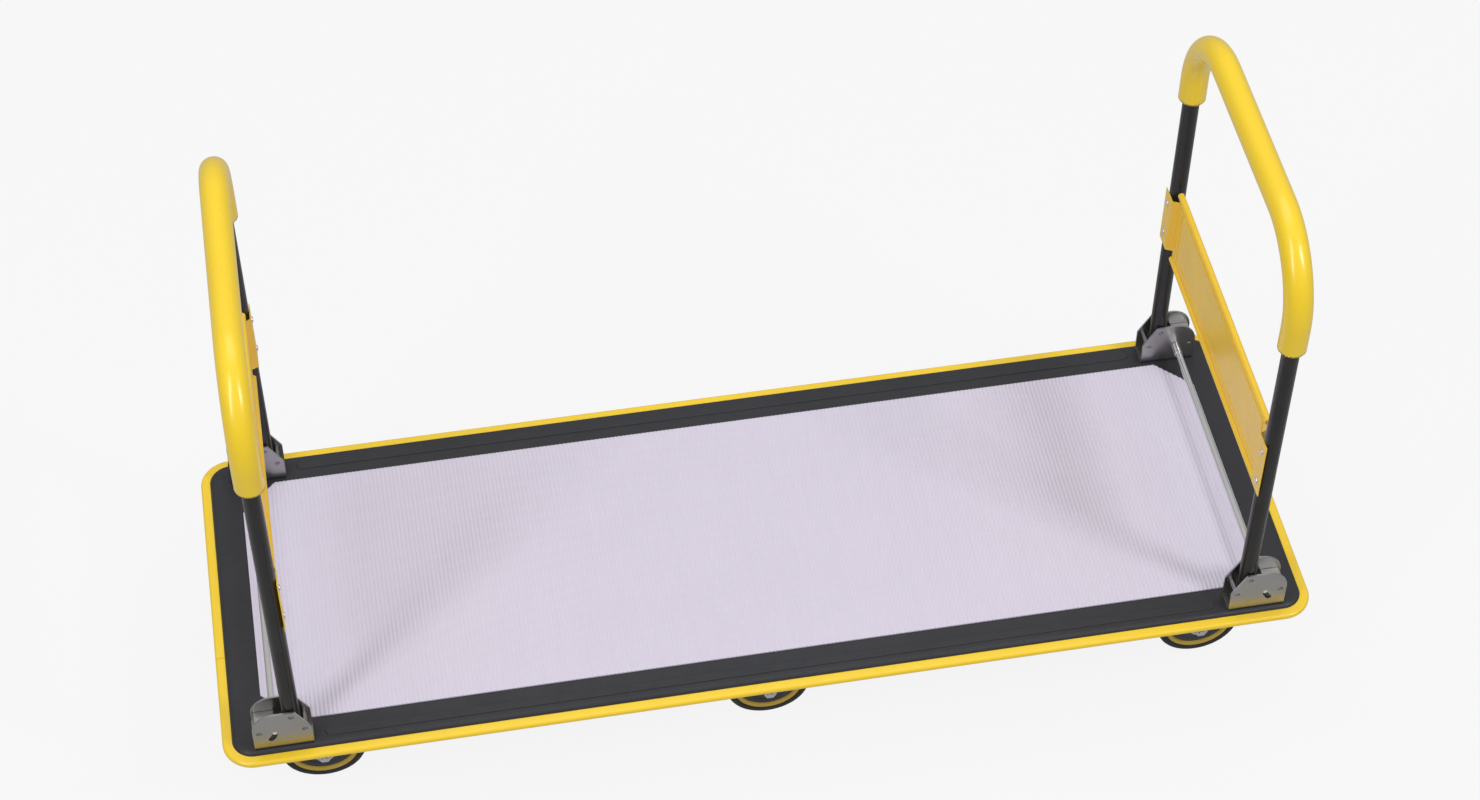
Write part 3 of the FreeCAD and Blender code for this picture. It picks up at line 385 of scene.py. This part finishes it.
def sweep(points, tangents, radii, steps=64):
    """Round skin along a path lying in a plane of constant X. The end rings stay open."""
    vertices = []
    faces = []
    for point, tangent, radius in zip(points, tangents, radii):
        across = Vector((1, 0, 0))
        normal = tangent.cross(across).normalized()
        for i in range(steps):
            angle = 2 * math.pi * i / steps
            vertices.append(point + radius * (math.cos(angle) * across + math.sin(angle) * normal))
    for k in range(len(points) - 1):
        for i in range(steps):
            j = (i + 1) % steps
            faces.append((k * steps + i, k * steps + j, (k + 1) * steps + j, (k + 1) * steps + i))
    return vertices, faces


def u_path(x, half_width, z_low, z_top, bend, arc_steps=28, leg_steps=12, top_steps=12):
    """Points and directions up one leg, over the top and down the other."""
    points = []
    tangents = []

    def put(y, z, direction):
        points.append(Vector((x, y, z)))
        tangents.append(Vector(direction))

    for i in range(leg_steps):
        put(-half_width, z_low + (z_top - bend - z_low) * i / leg_steps, (0, 0, 1))
    for i in range(arc_steps + 1):
        a = math.pi / 2 * i / arc_steps
        put(bend - half_width - bend * math.cos(a), z_top - bend + bend * math.sin(a),
            (0, math.sin(a), math.cos(a)))
    for i in range(1, top_steps):
        put(bend - half_width + (2 * half_width - 2 * bend) * i / top_steps, z_top, (0, 1, 0))
    for i in range(arc_steps + 1):
        a = math.pi / 2 * i / arc_steps
        put(half_width - bend + bend * math.sin(a), z_top - bend + bend * math.cos(a),
            (0, math.cos(a), -math.sin(a)))
    for i in range(1, leg_steps + 1):
        put(half_width, z_top - bend - (z_top - bend - z_low) * i / leg_steps, (0, 0, -1))
    return points, tangents


# ---- pieces -----------------------------------------------------------------------------------
def build_sleeve(end, materials):
    """Grip sleeve with rounded mouths that roll in to the tube."""
    low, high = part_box("handle_sleeve_" + end)
    radius = (high.x - low.x) / 2
    x = (high.x + low.x) / 2
    points, tangents = u_path(x, high.y - radius, low.z, high.z - radius, HANDLE_BEND)
    rolls = []
    for i in range(SLEEVE_MOUTH_STEPS + 1):
        a = math.pi / 2 * i / SLEEVE_MOUTH_STEPS
        rolls.append((SLEEVE_MOUTH * (1 - math.sin(a)), radius - SLEEVE_MOUTH * (1 - math.cos(a))))
    points, tangents, radii = with_mouths(points, tangents, radius, rolls)
    vertices, faces = sweep(points, tangents, radii)
    piece = new_piece("grip_sleeve_" + end, vertices, faces, materials["sleeve_yellow"])
    hand_over(piece, "handle_" + end, "sleeve_yellow", "handle_sleeve_" + end)


def with_mouths(points, tangents, radius, rolls):
    """Adds the rounded end rings at both ends of a sleeve path, ending on the tube."""
    ring = [(0.0, TUBE_RADIUS)] + [(offset, r) for offset, r in reversed(rolls)]
    start = [points[0] + tangents[0] * offset for offset, _ in ring]
    finish = [points[-1] - tangents[-1] * offset for offset, _ in reversed(ring)]
    count = len(ring)
    all_points = start + points[1:-1] + finish
    all_tangents = [tangents[0]] * count + tangents[1:-1] + [tangents[-1]] * count
    radii = [r for _, r in ring] + [radius] * (len(points) - 2) + [r for _, r in reversed(ring)]
    return all_points, all_tangents, radii


def build_mat(materials):
    """Ribbed mat with rounded ribs across the cart and cut corners."""
    low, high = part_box("deck_mat")
    half_length = high.x
    half_width = high.y
    floor = high.z - RIB_HEIGHT
    count = int(2 * half_length / RIB_PITCH)
    first = -(count - 1) * RIB_PITCH / 2
    columns = [(-half_length, 0.0)]
    for i in range(count):
        columns += [(first + (i + u) * RIB_PITCH, h) for u, h in RIB_SHAPE]
    columns.append((half_length, 0.0))
    vertices = []
    faces = []
    edge = MAT_EDGE_CHAMFER
    # The second pair of points inside the edges keeps the long faces flat across the cart.
    inset = 4 * edge
    for x, h in columns:
        reach = min(half_width, half_width - (abs(x) - (half_length - MAT_CUT)))
        z = floor + h * RIB_HEIGHT
        section = [(-reach, low.z), (-reach, z - edge), (edge - reach, z), (inset - reach, z)]
        section += [(-y, height) for y, height in reversed(section)]
        vertices += [(x, y, height) for y, height in section]
    rows = len(section)
    for i in range(len(columns) - 1):
        for k in range(rows - 1):
            a = i * rows + k
            faces.append((a, a + 1, a + 1 + rows, a + rows))
    last = (len(columns) - 1) * rows
    faces.append(tuple(range(rows)))
    faces.append(tuple(range(last + rows - 1, last - 1, -1)))
    piece = new_piece("ribbed_mat", vertices, faces, materials["mat_vinyl"])
    for polygon in piece.data.polygons:
        polygon.use_smooth = abs(polygon.normal.z) > 0.3
    hand_over(piece, "platform", "mat_vinyl", "deck_mat")


def build_wheel(place, materials):
    body = "wheel_" + place
    low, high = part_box("wheel_tyre_" + place)
    centre = (low + high) / 2
    radius = (high.z - low.z) / 2
    half = (high.y - low.y) / 2
    tyre = [(-half + 0.6 * MM, TYRE_INNER_RADIUS), (-half, TYRE_INNER_RADIUS + 0.8 * MM)]
    tyre += [(-half + inward * MM, radius - depth * MM) for inward, depth in TYRE_SHOULDER]
    tyre += [(-y * MM, radius - depth * MM) for y, depth in TYRE_GROOVE]
    tyre += [(-y, r) for y, r in reversed(tyre)]
    hand_over(lathe("tyre_" + place, tyre, centre, materials["tyre_rubber"]), body, "tyre_rubber",
              "wheel_tyre_" + place)
    rim = [(y * MM, r * MM) for y, r in RIM_HALF_SECTION]
    rim += [(-y, r) for y, r in reversed(rim)]
    hand_over(lathe("rim_" + place, rim, centre, materials["core_yellow"]), body, "core_yellow",
              "wheel_core_" + place)
    for name, side in (("front", -1), ("back", 1)):
        disc = [(side * y * MM, r * MM) for y, r in COVER_SECTION]
        piece = lathe("cover_%s_%s" % (place, name), disc, centre, materials["cover_dark"])
        hand_over(piece, body, "cover_dark", "wheel_covers_" + place)


def dress_cad(materials):
    """Finer finish and rounded edges for the CAD nodes that stay."""
    slots = {entry["node"]: entry["material_slot"] for entry in frame["record"]["subparts"]}
    for name, node in frame["nodes"].items():
        node.data.materials.clear()
        node.data.materials.append(materials[slots[name]])
        for polygon in node.data.polygons:
            polygon.use_smooth = True
            polygon.material_index = 0
        width = next((w for key, w in EDGE_ROUNDS.items() if name.startswith(key)), None)
        if width:
            soften(node, width * MM)


# ---- studio -----------------------------------------------------------------------------------
def build_floor(material):
    """Pale floor that curves up into a wall all round, so views from above end on the same tone."""
    section = [(COVE_FLOOR_RING, 0.0), (COVE_RADIUS - COVE_BEND, 0.0)]
    for i in range(1, COVE_BEND_STEPS + 1):
        angle = math.pi / 2 * i / COVE_BEND_STEPS
        section.append((COVE_RADIUS - COVE_BEND * (1 - math.sin(angle)), COVE_BEND * (1 - math.cos(angle))))
    section.append((COVE_RADIUS, COVE_HEIGHT))
    vertices = []
    faces = []
    for i in range(COVE_STEPS):
        angle = 2 * math.pi * i / COVE_STEPS
        across = Vector((math.cos(angle), math.sin(angle), 0))
        vertices += [across * out + Vector((0, 0, up)) for out, up in section]
    rows = len(section)
    faces.append(tuple(i * rows for i in range(COVE_STEPS)))
    for i in range(COVE_STEPS):
        j = (i + 1) % COVE_STEPS
        for k in range(rows - 1):
            faces.append((i * rows + k, j * rows + k, j * rows + k + 1, i * rows + k + 1))
    floor = new_piece("studio_floor", vertices, faces, material)
    # Only the camera sees the floor, so its glow doesn't flatten the shading of the cart.
    floor.visible_diffuse = False
    floor.visible_glossy = False
    floor.visible_shadow = False


def soft_light(name, place, target, width, height, power):
    data = bpy.data.lights.new(name, "AREA")
    data.shape = "RECTANGLE"
    data.size = width
    data.size_y = height
    data.energy = power
    light = bpy.data.objects.new(name, data)
    bpy.context.scene.collection.objects.link(light)
    light.location = place
    aim = Vector(target) - Vector(place)
    light.rotation_euler = aim.to_track_quat("-Z", "Y").to_euler()


def shade_world():
    """Soft dome: brightest overhead, dim at the horizon, with a paler glow from below."""
    world = bpy.data.worlds.new("studio_world")
    bpy.context.scene.world = world
    world.use_nodes = True
    tree = world.node_tree
    direction = tree.nodes.new("ShaderNodeTexCoord").outputs["Generated"]
    split = tree.nodes.new("ShaderNodeSeparateXYZ")
    ramp = tree.nodes.new("ShaderNodeValToRGB")
    level = tree.nodes.new("ShaderNodeMapRange")
    tree.links.new(direction, split.inputs[0])
    tree.links.new(split.outputs["Z"], level.inputs["Value"])
    level.inputs["From Min"].default_value = -1.0
    tree.links.new(level.outputs[0], ramp.inputs[0])
    ramp.color_ramp.elements[0].color = (WORLD_BELOW,) * 3 + (1,)
    ramp.color_ramp.elements[1].color = (WORLD_OVERHEAD,) * 3 + (1,)
    horizon = ramp.color_ramp.elements.new(0.5)
    horizon.color = (WORLD_HORIZON,) * 3 + (1,)
    tree.links.new(ramp.outputs["Color"], tree.nodes["Background"].inputs["Color"])


def light_studio():
    shade_world()
    for softbox in SOFTBOXES:
        soft_light(*softbox)


def place_camera():
    yaw, pitch, roll = (math.radians(a) for a in (CAMERA_YAW, CAMERA_PITCH, CAMERA_ROLL))
    ahead = Vector((math.cos(pitch) * math.sin(yaw), math.cos(pitch) * math.cos(yaw), -math.sin(pitch)))
    right = Vector((math.cos(yaw), -math.sin(yaw), 0))
    up = right.cross(ahead)
    turned_right = math.cos(roll) * right + math.sin(roll) * up
    turned_up = math.cos(roll) * up - math.sin(roll) * right
    data = bpy.data.cameras.new("studio_camera")
    data.lens = CAMERA_LENS
    data.sensor_width = CAMERA_SENSOR_WIDTH
    data.clip_end = CAMERA_CLIP_END
    camera = bpy.data.objects.new("studio_camera", data)
    bpy.context.scene.collection.objects.link(camera)
    axes = Matrix((turned_right, turned_up, -ahead)).transposed().to_4x4()
    camera.matrix_world = Matrix.Translation(CAMERA_PLACE) @ axes
    bpy.context.scene.camera = camera


def main():
    materials = make_materials()
    dress_cad(materials)
    build_mat(materials)
    for end, _ in ENDS:
        build_sleeve(end, materials)
    for place in WHEELS:
        build_wheel(place, materials)
    build_floor(floor_paint())
    light_studio()
    place_camera()
    bpy.context.scene.view_settings.view_transform = "Standard"


main()
